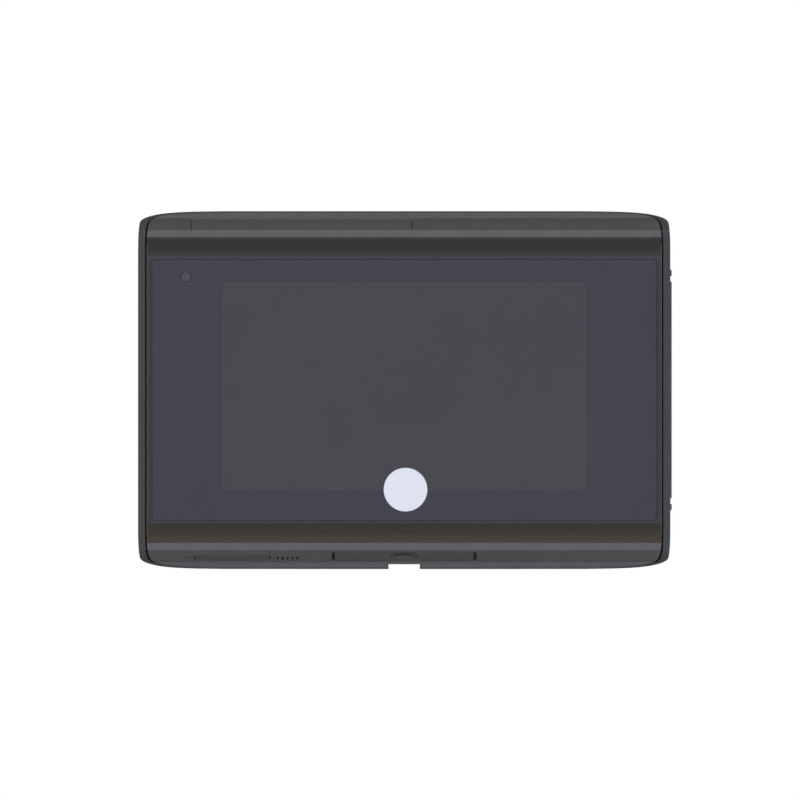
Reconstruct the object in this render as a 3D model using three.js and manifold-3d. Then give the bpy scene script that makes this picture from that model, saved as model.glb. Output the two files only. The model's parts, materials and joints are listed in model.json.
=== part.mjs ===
import * as THREE from 'three';
import { mergeVertices } from 'three/addons/utils/BufferGeometryUtils.js';
import Module from 'manifold-3d';

// Wall-mounted touch panel of an intruder alarm, in millimetres.
// X runs across it, Z up, and the wall is the plane Y = 0 with the panel on its -Y side.
// A "depth" below is a distance out from the wall, so a point at depth d lies at y = -d.

// ---- overall sizes ----
const bodyWidth = 140.1;
const bodyHeight = 94.2;
const panelDepth = 20.8;
const gap = 0.3;
const seam = 0.2;
const hingeClearance = 0.05;
const halfWidth = bodyWidth / 2;
const halfHeight = bodyHeight / 2;

// ---- wall plate and the recess it sits in ----
const plateThickness = 2.0;
const plateWidth = 127.6;
const plateTop = halfHeight - 6.5;
const plateCorner = 4;
const cableOpening = { width: 30, height: 22, corner: 3, z: -15 };
const boxScrewSpacing = 60.3;
const keyhole = { head: 3.8, neck: 2.1, rise: 5, low: 0, high: 26 };
const hook = { x: 60.5, high: 24, low: -20, width: 4, arm: 2, lip: 4.5, lipThickness: 1.5 };
const liftTravel = 5.5;

// ---- rear housing ----
const rimBack = 0.3;
const rimFront = 2.7;
const backThickness = 2.0;
const recessMargin = 0.4;
const recessDepth = plateThickness + recessMargin;
const panWall = 1.5;
const panInner = recessDepth + backThickness;
const cheekWidth = 1.85;
const cheekDepth = panelDepth - 2.6;
const cheekBevel = { start: panelDepth - 7.2, run: 1.75 };
const notchWidth = 8.2;
const notchDepth = 1.25;

// ---- front housing: half heights and depths of its section ----
const band = { back: 3.0, front: 4.3, outer: halfHeight - 0.5, inner: halfHeight - 1.9 };
const chamfer = {
  back: panelDepth - 3.5, front: panelDepth - 2.3, outer: halfHeight - 5.0, inner: halfHeight - 6.85,
};
const wallThickness = 2.0;
const sideWall = 1.6;
const deckThickness = 1.3;
const frontCavityHalf = chamfer.inner - 1.85;

// ---- soft corners of the outlines ----
// A long flat sweep off the top edge, a tight nose, then a soft run into the side.
// Each corner value is [in from the side, down from the top].
const bodyCorner = { sweep: 26.9, shoulder: [7.4, 0.55], nose: [0.47, 3.05], side: 10.9, noseTurn: 1.367 };
const frontCorner = { sweep: 24.6, shoulder: [5.6, 0.5], nose: [0.75, 2.6], side: 7.5, noseTurn: 1.28 };
const shoulderTurn = 0.108;
const handles = { sweep: 0.57, shoulder: 0.15, tightIn: 0.6, tightOut: 0.15, nose: 0.12, side: 0.68 };
const outlineSegments = 7;

// ---- lens, fascia and display ----
const railWidth = 5.85;
const lens = { width: 132.7, height: 2 * (chamfer.inner - railWidth), thickness: 1.1, corner: 1.0 };
const tapeThickness = 0.3;
const screenWindow = { width: 96.3, height: lens.height - 13.5, x: 0.1, z: 0.95, corner: 1.6, clear: 1.2 };
const gasketThickness = 0.5;
const lcd = { width: 105.5, height: lens.height - 1.6, glass: 1.3, frame: 1.6 };
const statusWindow = { x: -57.4, z: lens.height / 2 - 4.6, radius: 1.25, flange: 0.9 };
const badge = { x: 0.35, z: 8.2 - lens.height / 2, radius: 5.75, thickness: 0.25 };
const fasciaTab = { pitch: 45, half: 4, depth: 2.4, thickness: 1.2 };

// ---- circuit board and what it carries ----
const board = {
  halfWidth: 62.5, bottom: 11.1 - halfHeight, top: halfHeight - 9.1, thickness: 1.6, standoff: 1.2,
};
const boardScrew = {
  x: 59.6, high: board.top - 14, low: board.bottom + 9, shank: 1.05, head: 2.1, post: 2.4,
};
const housingScrew = { x: 61, z: halfHeight - 14.1, shank: 1.4, head: 2.4, headHeight: 1.5, boss: 3.0 };
const battery = { width: 52, height: 35.5, thickness: 4.8, top: halfHeight - 6.3 };
const batteryRib = { width: 1.2, connectorHalf: 7 };
const solder = 0.1;
const flex = { bottom: board.bottom + 5, top: board.bottom + 14, width: 20 };
const speaker = { left: -35, right: -13, bottom: 6.7 - halfHeight, height: 12.9, cone: 4.6 };
const cell = { x: -20, z: -14, radius: 6.25, thickness: 2.5, holderHalf: 8 };
const buzzer = { x: 46, z: -10, radius: 5.6, height: 4 };
const tamper = { x: 46, z: board.bottom + 9, stem: 1.5, head: 2.3 };
const tamperBody = { half: 4.2, back: panInner + 2.2, bore: tamper.head + 0.2, floor: 0.6 };
const plungerHead = { back: tamperBody.back + 0.3, thickness: 1.1 };
const tamperWire = { radius: 0.22, coil: 1.5, turns: 2.5 };
const resetButton = { z: -1, depth: 8.8, radius: 1.1, back: 62.1 };
const port = { z: 14, halfHeight: 4.6, back: 7.2 };
const terminals = { low: -24, high: -9, back: 6.7, ways: 4 };

// ---- doors, plug and connectors ----
const batteryDoor = { left: -56.2, right: 2.2, thickness: 1.2, axisInset: 1.1, barrel: 0.75, corner: 1.3 };
const peg = { radius: 0.5, length: 1.2 };
const sideDoor = {
  length: 57, front: 12.9, thickness: 1.05, inset: 0.65, axisDepth: 3.8, barrel: 1.0, pin: 0.7,
};
const ear = { gap: 1.5, width: 1.6 };
const connector = { width: 38.2, height: 10.4, v: -0.9, plate: 1.2, endGap: 0.8 };
const jack = { ring: 3.45, body: 3.9, bore: 2.75, pin: 1.0, length: 6.8 };
const cardPlug = { x: -45.3, v: -2, width: 19.8, height: 6.1, head: 1.2, stem: 2.2 };
const soundSlots = { x: -30.7, count: 5, pitch: 1.3, width: 0.55, length: 3.6 };
const speakerSeal = { width: 9, height: 5.2, thickness: 0.75 };
const micHole = { x: -56.6, v: -2, radius: 0.65 };

// ---- worked out from the sizes above ----
const sideGap = gap + 0.15;
const frontHalfWidth = halfWidth - cheekWidth - sideGap;
const lensBack = panelDepth - lens.thickness;
const ledgeFront = lensBack - tapeThickness;
const lcdFront = chamfer.front - gasketThickness;
const glassBack = lcdFront - lcd.glass;
const lcdBack = glassBack - lcd.frame;
const deckFront = lcdBack - 0.4;
const deckBack = deckFront - deckThickness;
const boardFront = deckBack - board.standoff;
const boardBack = boardFront - board.thickness;
const recessHalfWidth = plateWidth / 2 + recessMargin;
const recessHalfHeight = plateTop + recessMargin;
const plateBottom = liftTravel + gap - recessHalfHeight;
const hingeX = halfWidth - sideDoor.inset;
const draft = Math.atan2(band.inner - chamfer.outer, chamfer.back - band.front);
const wallMid = { depth: (band.front + chamfer.back) / 2, half: (band.inner + chamfer.outer) / 2 };
const wallRun = Math.hypot(band.inner - chamfer.outer, chamfer.back - band.front);
const lidAxis = { v: wallRun / 2 - batteryDoor.axisInset, w: -batteryDoor.barrel - 0.1 };
const batteryCentre = (batteryDoor.left + batteryDoor.right) / 2;
const batteryBack = panInner + 0.5;
const batteryFront = batteryBack + battery.thickness;
const batteryLow = battery.top - battery.height;
// The speaker's seal lies inside the lower wall and just clears the pan behind it.
const sealDeep = wallThickness + 0.05 + speakerSeal.thickness;
const sealRear = panInner + gap - wallMid.depth + sealDeep * Math.sin(draft);
soundSlots.v = sealRear / Math.cos(draft) + speakerSeal.height / 2;

const corners = [[-1, -1], [-1, 1], [1, -1], [1, 1]];
const screwPlaces = corners.map(([sx, sz]) => [sx * housingScrew.x, sz * housingScrew.z]);
const boardScrewPlaces = [-1, 1].flatMap((side) => (
  [boardScrew.high, boardScrew.low].map((z) => [side * boardScrew.x, z])
));
const hookPlaces = [-1, 1].flatMap((side) => [hook.low, hook.high].map((z) => [side * hook.x, z]));

// ---- materials ----
function finish(color, roughness, metalness = 0) {
  return new THREE.MeshStandardMaterial({ color, roughness, metalness });
}

const casing = finish(0x4a4a4b, 0.55);
const gloss = finish(0x35353a, 0.15);
const glass = finish(0x45454f, 0.08);
const rubber = finish(0x424244, 0.8);
const steel = finish(0xb8b8bc, 0.3, 1);
const darkPlastic = finish(0x1c1c1e, 0.5);
const circuit = finish(0x1e5a3a, 0.6);
const pale = finish(0xdcdfe9, 0.35);
const wrap = finish(0x6b7076, 0.4);

// ---- solids ----
const wasm = await Module();
wasm.setup();

function solid(geometry) {
  const bare = geometry.index ? geometry.toNonIndexed() : geometry.clone();
  bare.deleteAttribute('normal');
  bare.deleteAttribute('uv');
  const merged = mergeVertices(bare, 1e-4);
  const vertProperties = new Float32Array(merged.attributes.position.array);
  const triVerts = new Uint32Array(merged.index.array);
  return new wasm.Manifold(new wasm.Mesh({ numProp: 3, vertProperties, triVerts }));
}

function geometryOf(body) {
  const mesh = body.getMesh();
  const geometry = new THREE.BufferGeometry();
  const positions = new Float32Array(mesh.vertProperties);
  geometry.setAttribute('position', new THREE.BufferAttribute(positions, 3));
  geometry.setIndex(new THREE.BufferAttribute(new Uint32Array(mesh.triVerts), 1));
  const flat = geometry.toNonIndexed();
  flat.computeVertexNormals();
  return flat;
}

const union = (first, ...rest) => rest.reduce((sum, next) => sum.add(next), first);
const cut = (body, ...tools) => tools.reduce((left, tool) => left.subtract(tool), body);

const cadPanel = new THREE.Group();

function addPiece(name, body, material, parent = cadPanel) {
  const piece = new THREE.Mesh(geometryOf(body), material);
  piece.name = name;
  parent.add(piece);
  return piece;
}

function extruded(shape, depth, curveSegments) {
  return new THREE.ExtrudeGeometry(shape, { depth, bevelEnabled: false, curveSegments });
}

// Outline in X and Z, extruded between two depths.
function slabY(shape, back, front, curveSegments = 3) {
  const geometry = extruded(shape, front - back, curveSegments);
  return solid(geometry.rotateX(Math.PI / 2).translate(0, -back, 0));
}

// Section in Y and Z, extruded between two values of X.
function slabX(shape, left, right, curveSegments = 3) {
  const geometry = extruded(shape, right - left, curveSegments);
  const turn = new THREE.Matrix4().set(0, 0, 1, left, 1, 0, 0, 0, 0, 1, 0, 0, 0, 0, 0, 1);
  return solid(geometry.applyMatrix4(turn));
}

// Outline in X and Y, extruded between two heights.
function slabZ(shape, low, high, curveSegments = 3) {
  const geometry = extruded(shape, high - low, curveSegments);
  return solid(geometry.translate(0, 0, low));
}

// Box from its limits in X, depth and Z.
function block(left, right, back, front, low, high) {
  const geometry = new THREE.BoxGeometry(right - left, front - back, high - low);
  return solid(geometry.translate((left + right) / 2, -(back + front) / 2, (low + high) / 2));
}

// Round bar along Y between two depths.
function rodY(x, z, radius, back, front, sides = 24) {
  const geometry = new THREE.CylinderGeometry(radius, radius, front - back, sides);
  return solid(geometry.translate(x, -(back + front) / 2, z));
}

// Round bar along Z.
function rodZ(x, depth, radius, low, high, sides = 24) {
  const geometry = new THREE.CylinderGeometry(radius, radius, high - low, sides);
  return solid(geometry.rotateX(Math.PI / 2).translate(x, -depth, (low + high) / 2));
}

// Round bar along X, in a wall's own frame or the panel's.
function rodX(y, z, radius, left, right, sides = 20) {
  const geometry = new THREE.CylinderGeometry(radius, radius, right - left, sides);
  return solid(geometry.rotateZ(Math.PI / 2).translate((left + right) / 2, y, z));
}

function roundedRect(width, height, radius, x = 0, y = 0) {
  const w = width / 2;
  const h = height / 2;
  const shape = new THREE.Shape();
  shape.moveTo(x - w + radius, y - h);
  shape.lineTo(x + w - radius, y - h);
  shape.absarc(x + w - radius, y - h + radius, radius, -Math.PI / 2, 0);
  shape.lineTo(x + w, y + h - radius);
  shape.absarc(x + w - radius, y + h - radius, radius, 0, Math.PI / 2);
  shape.lineTo(x - w + radius, y + h);
  shape.absarc(x - w + radius, y + h - radius, radius, Math.PI / 2, Math.PI);
  shape.lineTo(x - w, y - h + radius);
  shape.absarc(x - w + radius, y - h + radius, radius, Math.PI, 1.5 * Math.PI);
  return shape;
}

// Soft-cornered outline in X and Z from three Bezier curves a corner.
function softOutline(halfW, halfH, corner) {
  const [ax, ay] = [corner.sweep, 0];
  const [bx, by] = corner.shoulder;
  const [cx, cy] = corner.nose;
  const run = ax - bx;
  const shoulder = [Math.cos(shoulderTurn), -Math.sin(shoulderTurn)];
  const nose = [Math.cos(corner.noseTurn), -Math.sin(corner.noseTurn)];
  const span = Math.hypot(bx - cx, by - cy);
  const sweepHandle = run * handles.sweep;
  const shoulderHandle = run * handles.shoulder;
  const tightIn = span * handles.tightIn;
  const tightOut = span * handles.tightOut;
  const drop = corner.side - cy;
  // Control points of three Bezier curves, from the top edge round to the side.
  const points = [
    [ax, ay],
    [ax - sweepHandle, 0],
    [bx + shoulder[0] * shoulderHandle, by + shoulder[1] * shoulderHandle],
    [bx, by],
    [bx - shoulder[0] * tightIn, by - shoulder[1] * tightIn],
    [cx + nose[0] * tightOut, cy + nose[1] * tightOut],
    [cx, cy],
    [cx - nose[0] * drop * handles.nose, cy - nose[1] * drop * handles.nose],
    [0, corner.side - drop * handles.side],
    [0, corner.side],
  ];
  const shape = new THREE.Shape();
  const place = (p, sx, sy) => [sx * (halfW - p[0]), sy * (halfH - p[1])];
  const quarters = [[1, 1, false], [1, -1, true], [-1, -1, false], [-1, 1, true]];
  quarters.forEach(([sx, sy, back], i) => {
    const path = (back ? [...points].reverse() : points).map((p) => place(p, sx, sy));
    if (i === 0) shape.moveTo(...path[0]);
    else shape.lineTo(...path[0]);
    for (let k = 1; k < path.length; k += 3) {
      shape.bezierCurveTo(...path[k], ...path[k + 1], ...path[k + 2]);
    }
  });
  return shape;
}

// Section symmetric about the middle, from (depth, half height) pairs of its upper edge.
function mirroredSection(upper) {
  const lower = [...upper].reverse().map(([depth, half]) => [depth, -half]);
  return new THREE.Shape([...upper, ...lower].map(([depth, half]) => new THREE.Vector2(-depth, half)));
}

// Frames of the two sloping walls: u across, v along the slope, w out of the wall.
const topWall = new THREE.Group();
topWall.position.set(0, -wallMid.depth, wallMid.half);
topWall.rotation.x = draft;
const bottomWall = new THREE.Group();
bottomWall.position.set(0, -wallMid.depth, -wallMid.half);
bottomWall.rotation.x = Math.PI - draft;

// Brings a solid made in a sloping wall's frame into the panel's.
function inWall(wall, body) {
  wall.updateMatrix();
  return body.transform([...wall.matrix.elements]);
}

// Round bar out of a sloping wall, in that wall's own frame.
function rodW(u, v, radius, low, high, sides = 24) {
  const geometry = new THREE.CylinderGeometry(radius, radius, high - low, sides);
  return solid(geometry.rotateX(Math.PI / 2).translate(u, v, (low + high) / 2));
}

// ---- wall plate: hangs the panel on four hooks ----
function keyholeShape(x, z) {
  const shape = new THREE.Shape();
  const { head, neck, rise } = keyhole;
  const turn = Math.asin(neck / head);
  shape.absarc(x, z, head, Math.PI / 2 + turn, Math.PI / 2 - turn + 2 * Math.PI);
  shape.lineTo(x + neck, z + rise);
  shape.absarc(x, z + rise, neck, 0, Math.PI);
  return shape;
}

function hookSolid(x, z) {
  const left = x - hook.width / 2;
  const right = x + hook.width / 2;
  const tip = panInner + gap + hook.lipThickness;
  const arm = block(left, right, plateThickness / 2, tip, z - hook.arm, z);
  const lip = block(left, right, panInner + gap, tip, z - hook.arm / 2, z + hook.lip);
  return union(arm, lip);
}

function wallPlate() {
  const through = [-0.5, plateThickness + 0.5];
  const middle = (plateTop + plateBottom) / 2;
  const outline = roundedRect(plateWidth, plateTop - plateBottom, plateCorner, 0, middle);
  const { width, height, corner, z: openingZ } = cableOpening;
  const opening = roundedRect(width, height, corner, 0, openingZ);
  let plate = cut(slabY(outline, 0, plateThickness), slabY(opening, ...through));
  for (const x of [-boxScrewSpacing / 2, boxScrewSpacing / 2]) {
    for (const z of [keyhole.low, keyhole.high]) {
      plate = cut(plate, slabY(keyholeShape(x, z), ...through));
    }
  }
  const slot = tamper.stem * 2 + 1.4;
  const slotMiddle = tamper.z + liftTravel / 2;
  const tamperSlot = roundedRect(slot, slot + liftTravel, slot / 2 - 0.01, tamper.x, slotMiddle);
  plate = cut(plate, slabY(tamperSlot, ...through));
  const notch = block(-notchWidth / 2, notchWidth / 2, ...through, -halfHeight, plateBottom + 3);
  return cut(union(plate, ...hookPlaces.map(([x, z]) => hookSolid(x, z))), notch);
}

// ---- rear housing: back, rim and the two side cheeks ----
function rearHousing() {
  const outline = softOutline(halfWidth, halfHeight, bodyCorner);
  const edge = halfHeight;
  const section = mirroredSection([
    [rimBack, edge - 0.4], [rimBack + 0.5, edge], [rimFront - 0.4, edge], [rimFront, edge - 0.25],
    [band.back + 0.1, band.outer], [band.front + 0.1, band.inner + 0.1],
    [chamfer.back, chamfer.outer + 0.1], [cheekDepth, chamfer.inner + 0.5],
  ]);
  const { start, run } = cheekBevel;
  const plan = new THREE.Shape();
  plan.moveTo(halfWidth - 0.3, -rimBack);
  plan.lineTo(halfWidth, -rimBack - 0.4);
  plan.lineTo(halfWidth, -start);
  plan.quadraticCurveTo(halfWidth, -start - 0.9, halfWidth - 0.3, -start - 1.6);
  plan.lineTo(halfWidth - run, -cheekDepth);
  plan.lineTo(run - halfWidth, -cheekDepth);
  plan.lineTo(0.3 - halfWidth, -start - 1.6);
  plan.quadraticCurveTo(-halfWidth, -start - 0.9, -halfWidth, -start);
  plan.lineTo(-halfWidth, -rimBack - 0.4);
  plan.lineTo(0.3 - halfWidth, -rimBack);
  let shell = slabY(outline, rimBack, cheekDepth, outlineSegments);
  shell = shell.intersect(slabX(section, -halfWidth - 1, halfWidth + 1));
  shell = shell.intersect(slabZ(plan, -halfHeight - 1, halfHeight + 1, 5));
  const clear = softOutline(frontHalfWidth + sideGap, band.outer + gap, frontCorner);
  shell = cut(shell, slabY(clear, rimFront, panelDepth + 2, outlineSegments));
  const panHalfW = recessHalfWidth + panWall;
  const panHalfH = recessHalfHeight + panWall;
  const panShape = roundedRect(2 * panHalfW, 2 * panHalfH, plateCorner + panWall);
  const pan = slabY(panShape, rimBack + 1, panInner);
  const recess = roundedRect(2 * recessHalfWidth, 2 * recessHalfHeight, plateCorner + recessMargin);
  shell = cut(union(shell, pan), slabY(recess, -1, recessDepth));
  shell = union(shell, ...batteryRibs(), ...rearBosses(), ...earSolids());
  for (const [x, z] of hookPlaces) {
    const half = hook.width / 2 + gap;
    shell = cut(shell, block(x - half, x + half, 0, panInner + 1, z - hook.arm - liftTravel - gap, z + 0.15));
  }
  for (const [x, z] of screwPlaces) {
    shell = cut(shell, rodY(x, z, housingScrew.head + gap, -1, recessDepth + housingScrew.headHeight + 0.2));
    shell = cut(shell, rodY(x, z, housingScrew.shank + gap, -1, panInner + 4));
  }
  shell = cut(shell, rodY(tamper.x, tamper.z, tamper.stem + gap, -1, panInner + 1));
  return cut(shell, rimNotch(), ...sideDoorPocket());
}

// Ribs that hold the battery, with a break below it for its connector.
function batteryRibs() {
  const { width, connectorHalf } = batteryRib;
  const depths = [panInner - 0.5, batteryFront - 0.7];
  const left = batteryCentre - battery.width / 2 - gap;
  const right = batteryCentre + battery.width / 2 + gap;
  const low = batteryLow - gap;
  return [
    block(left - width, left, ...depths, low - width, battery.top - 4),
    block(right, right + width, ...depths, low - width, battery.top - 4),
    block(left - width, batteryCentre - connectorHalf, ...depths, low - width, low),
    block(batteryCentre + connectorHalf, right + width, ...depths, low - width, low),
  ];
}

function rearBosses() {
  return screwPlaces.map(([x, z]) => rodY(x, z, housingScrew.boss + 0.6, panInner - 0.5, panInner + 1.2));
}

function earSolids() {
  const start = sideDoor.length / 2 + ear.gap;
  return [-1, 1].map((side) => {
    const low = Math.min(side * start, side * (start + ear.width));
    return rodZ(hingeX, sideDoor.axisDepth, sideDoor.barrel, low, low + ear.width);
  });
}

function sideDoorPocket() {
  const half = sideDoor.length / 2;
  const outer = halfWidth + 2;
  const floor = halfWidth - sideDoor.thickness - gap;
  const back = sideDoor.axisDepth - sideDoor.barrel - seam;
  const barrelFront = sideDoor.axisDepth + sideDoor.barrel + gap;
  const inner = halfWidth - cheekWidth - 1;
  const pinHole = sideDoor.pin + hingeClearance;
  const pinEnd = half + ear.gap + ear.width;
  return [
    block(floor, outer, back, sideDoor.front + gap, -half - seam, half + seam),
    block(hingeX - sideDoor.barrel - gap, outer, back, barrelFront, -half - ear.gap, half + ear.gap),
    block(inner, outer, barrelFront + 0.4, sideDoor.front - 1.2, 2.5 - half, half - 2.5),
    rodZ(hingeX, sideDoor.axisDepth, pinHole, -pinEnd - 1, pinEnd + 1),
  ];
}

// ---- front housing: sloping walls, sides and the deck that carries display and board ----
function frontHousing() {
  const section = mirroredSection([
    [band.back, band.outer],
    [band.front, band.inner],
    [chamfer.back, chamfer.outer],
    [chamfer.front, chamfer.inner],
  ]);
  const outline = softOutline(frontHalfWidth, band.outer, frontCorner);
  let shell = slabY(outline, band.back, chamfer.front, outlineSegments);
  shell = shell.intersect(slabX(section, -halfWidth, halfWidth));
  const inset = wallThickness / Math.cos(draft);
  const slope = Math.tan(draft);
  const halfAt = (depth) => band.inner - (depth - band.front) * slope - inset;
  const rear = mirroredSection([
    [band.back - 1, halfAt(band.front)],
    [band.front, halfAt(band.front)],
    [deckBack, halfAt(deckBack)],
  ]);
  const innerHalf = frontHalfWidth - sideWall;
  shell = cut(shell, slabX(rear, -innerHalf, innerHalf));
  shell = cut(shell, slabY(roundedRect(2 * innerHalf, 2 * frontCavityHalf, 2), deckFront, panelDepth));
  const bosses = screwPlaces.map(([x, z]) => rodY(x, z, housingScrew.boss, panInner + 1.5, deckBack + 0.5));
  const posts = boardScrewPlaces.map(([x, z]) => rodY(x, z, boardScrew.post, boardFront, deckBack + 0.5));
  shell = union(shell, ...bosses, ...posts);
  for (const [x, z] of screwPlaces) {
    shell = cut(shell, rodY(x, z, housingScrew.shank + 0.1, 0, deckBack - 0.5));
  }
  for (const [x, z] of boardScrewPlaces) {
    shell = cut(shell, rodY(x, z, boardScrew.shank + 0.15, 0, deckFront - 0.4, 16));
  }
  shell = cut(shell, rodY(statusWindow.x, statusWindow.z, statusWindow.radius + gap, 0, panelDepth));
  const flexHalf = flex.width / 2 + 1;
  shell = cut(shell, block(-flexHalf, flexHalf, 0, panelDepth, flex.bottom - 0.6, flex.bottom + 1.4));
  const jackHalf = jack.body + 1.5;
  const low = board.bottom;
  shell = cut(shell, block(-jackHalf, jackHalf, deckBack - 1, deckFront + 1, low - 4, low + 2));
  return cut(shell, ...topWallCuts(), ...bottomWallCuts(), ...sidePortCuts(), rimNotch());
}

// Finger notch through the lower rim of both housings.
function rimNotch() {
  const half = notchWidth / 2;
  return block(-half, half, -1, band.front + 1.7, -halfHeight - 1, notchDepth - halfHeight);
}

function topWallCuts() {
  const { left, right } = batteryDoor;
  const lidBed = batteryDoor.thickness + gap;
  const bedLength = wallRun - 0.2 - batteryDoor.axisInset;
  const bed = roundedRect(right - left, bedLength, 0.9, batteryCentre, -batteryDoor.axisInset / 2);
  const pocket = slabZ(bed, -lidBed, 2);
  const reach = batteryDoor.barrel + 0.25;
  const groove = rodX(lidAxis.v, lidAxis.w, reach, left, right);
  const mouth = slabZ(roundedRect(right - left, 2 * reach, 0.1, batteryCentre, lidAxis.v), lidAxis.w, 2);
  const pegReach = peg.length + gap;
  const pegs = rodX(lidAxis.v, lidAxis.w, peg.radius + 0.1, left - pegReach, right + pegReach, 16);
  const batterySlot = block(
    batteryCentre - battery.width / 2 - 0.6, batteryCentre + battery.width / 2 + 0.6,
    batteryBack - 0.4, batteryFront + 0.4, battery.top - 3, halfHeight + 2,
  );
  return [pocket, groove, mouth, pegs].map((body) => inWall(topWall, body)).concat(batterySlot);
}

function bottomWallCuts() {
  const plateBed = roundedRect(connector.width, connector.height, 1.3, 0, connector.v);
  const jackWell = roundedRect(2 * jack.body + 3, 2 * jack.body + 1.2, 1, 0, 0);
  const { x: plugX, v: plugV, width: plugWidth, height: plugHeight } = cardPlug;
  const plugBed = roundedRect(plugWidth + 2 * seam, plugHeight + 2 * seam, 1.6, plugX, plugV);
  const plugSlot = roundedRect(plugWidth - 1.8, 4.1, 1, plugX, plugV);
  const tools = [
    slabZ(plateBed, -connector.plate - gap / 2, 2),
    slabZ(jackWell, -4, 2),
    slabZ(plugBed, -cardPlug.head - gap / 2, 2),
    slabZ(plugSlot, -4, 2),
    rodW(micHole.x, micHole.v, micHole.radius, -4, 4, 16),
  ];
  for (let i = 0; i < soundSlots.count; i += 1) {
    const x = soundSlots.x + (i - (soundSlots.count - 1) / 2) * soundSlots.pitch;
    tools.push(slabZ(roundedRect(soundSlots.width, soundSlots.length, 0.25, x, soundSlots.v), -4, 2));
  }
  return tools.map((body) => inWall(bottomWall, body));
}

// Windows in the right side wall for the service port, the reset button and the terminals.
function sidePortCuts() {
  const left = frontHalfWidth - sideWall - 1;
  const portHalf = port.halfHeight + gap;
  return [
    block(left, halfWidth, port.back - gap, boardBack + 0.4, port.z - portHalf, port.z + portHalf),
    block(left, halfWidth, terminals.back - gap, boardBack + 0.4, terminals.low - gap, terminals.high + gap),
    rodX(-resetButton.depth, resetButton.z, resetButton.radius + gap, left, left + 8),
  ];
}

// ---- front fascia: glossy crowned frame round the lens ----
function frontFascia() {
  const lensHalf = lens.height / 2 + seam / 2;
  const crown = new THREE.Shape();
  const foot = [-chamfer.front, chamfer.inner];
  const rise = [-chamfer.front - 1.3, chamfer.inner - 0.9];
  const flat = [-panelDepth, chamfer.inner - 2.4];
  crown.moveTo(foot[0], -foot[1]);
  crown.bezierCurveTo(rise[0], -rise[1], flat[0], -flat[1], -panelDepth, -lensHalf);
  crown.lineTo(-panelDepth, lensHalf);
  crown.bezierCurveTo(...flat, ...rise, ...foot);
  const side = frontHalfWidth;
  const plan = new THREE.Shape();
  plan.moveTo(side, -chamfer.front);
  plan.lineTo(side, 0.9 - panelDepth);
  plan.quadraticCurveTo(side - 0.1, -panelDepth + 0.1, side - 1.2, -panelDepth);
  plan.lineTo(1.2 - side, -panelDepth);
  plan.quadraticCurveTo(0.1 - side, 0.1 - panelDepth, -side, 0.9 - panelDepth);
  plan.lineTo(-side, -chamfer.front);
  let frame = slabX(crown, -side, side, 8).intersect(slabZ(plan, -halfHeight, halfHeight, 4));
  const bed = roundedRect(lens.width + seam, lens.height + seam, lens.corner + seam / 2);
  frame = cut(frame, slabY(bed, ledgeFront, panelDepth + 1));
  const view = viewShape(screenWindow.clear, 2);
  frame = cut(frame, slabY(view, 0, panelDepth + 1));
  frame = cut(frame, rodY(statusWindow.x, statusWindow.z, statusWindow.radius + 0.25, 0, panelDepth + 1));
  const tabs = [-fasciaTab.pitch, 0, fasciaTab.pitch].flatMap((x) => [-1, 1].map((end) => {
    const { half, depth, thickness } = fasciaTab;
    const low = end * (frontCavityHalf - gap - thickness / 2) - thickness / 2;
    return block(x - half, x + half, chamfer.front - depth, chamfer.front + 0.3, low, low + thickness);
  }));
  return union(frame, ...tabs);
}

// The display's window, larger all round by half the clearance.
function viewShape(clearance, corner) {
  const { width, height, x, z } = screenWindow;
  return roundedRect(width + clearance, height + clearance, corner, x, z);
}

function lensTape() {
  const outer = slabY(roundedRect(lens.width - 0.6, lens.height - 0.6, lens.corner), ledgeFront, lensBack);
  const view = viewShape(3, 2.4);
  const pipe = rodY(statusWindow.x, statusWindow.z, statusWindow.radius + 0.6, 0, panelDepth);
  return cut(outer, slabY(view, 0, panelDepth), pipe);
}

function touchLens() {
  const plate = slabY(roundedRect(lens.width, lens.height, lens.corner), lensBack, panelDepth);
  return cut(plate, rodY(statusWindow.x, statusWindow.z, statusWindow.radius + 0.1, 0, panelDepth + 1));
}

function lightPipe() {
  const { x, z, radius, flange } = statusWindow;
  const stem = rodY(x, z, radius, boardFront + 0.9, panelDepth);
  return union(stem, rodY(x, z, radius + flange, chamfer.front - 1.5, chamfer.front - 0.3));
}

// ---- display ----
function lcdGasket() {
  const ring = slabY(roundedRect(lcd.width - 1, lcd.height - 1, 1), lcdFront, chamfer.front);
  return cut(ring, slabY(viewShape(screenWindow.clear, 1), 0, panelDepth));
}

function backlightFrame() {
  const tray = slabY(roundedRect(lcd.width, lcd.height, 0.8), lcdBack, glassBack);
  return cut(tray, slabY(roundedRect(lcd.width - 1.6, lcd.height - 1.6, 0.4), lcdBack + 1.2, glassBack + 1));
}

function displayFlex() {
  const half = flex.width / 2 - 2;
  const bottom = flex.bottom + 0.2;
  const back = deckFront + 0.1;
  const front = lcdBack - 0.1;
  const sheet = block(-half, half, back, front, bottom, flex.top);
  const drop = block(-half, half, boardFront + 0.2, front, bottom, bottom + 0.3);
  return union(sheet, drop);
}

// ---- circuit board and its parts ----
function mainBoard() {
  const height = board.top - board.bottom;
  const middle = (board.top + board.bottom) / 2;
  let plate = slabY(roundedRect(2 * board.halfWidth, height, 1, 0, middle), boardBack, boardFront);
  const inner = housingScrew.x - housingScrew.boss - gap;
  const low = housingScrew.z - housingScrew.boss - gap;
  for (const [sx, sz] of corners) {
    const [left, right] = sx > 0 ? [inner, inner + 10] : [-inner - 10, -inner];
    const [bottom, top] = sz > 0 ? [low, low + 20] : [-low - 20, -low];
    plate = cut(plate, block(left, right, 0, panelDepth, bottom, top));
  }
  return cut(plate, ...boardScrewPlaces.map(([x, z]) => rodY(x, z, 1.4, 0, panelDepth, 16)));
}

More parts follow.
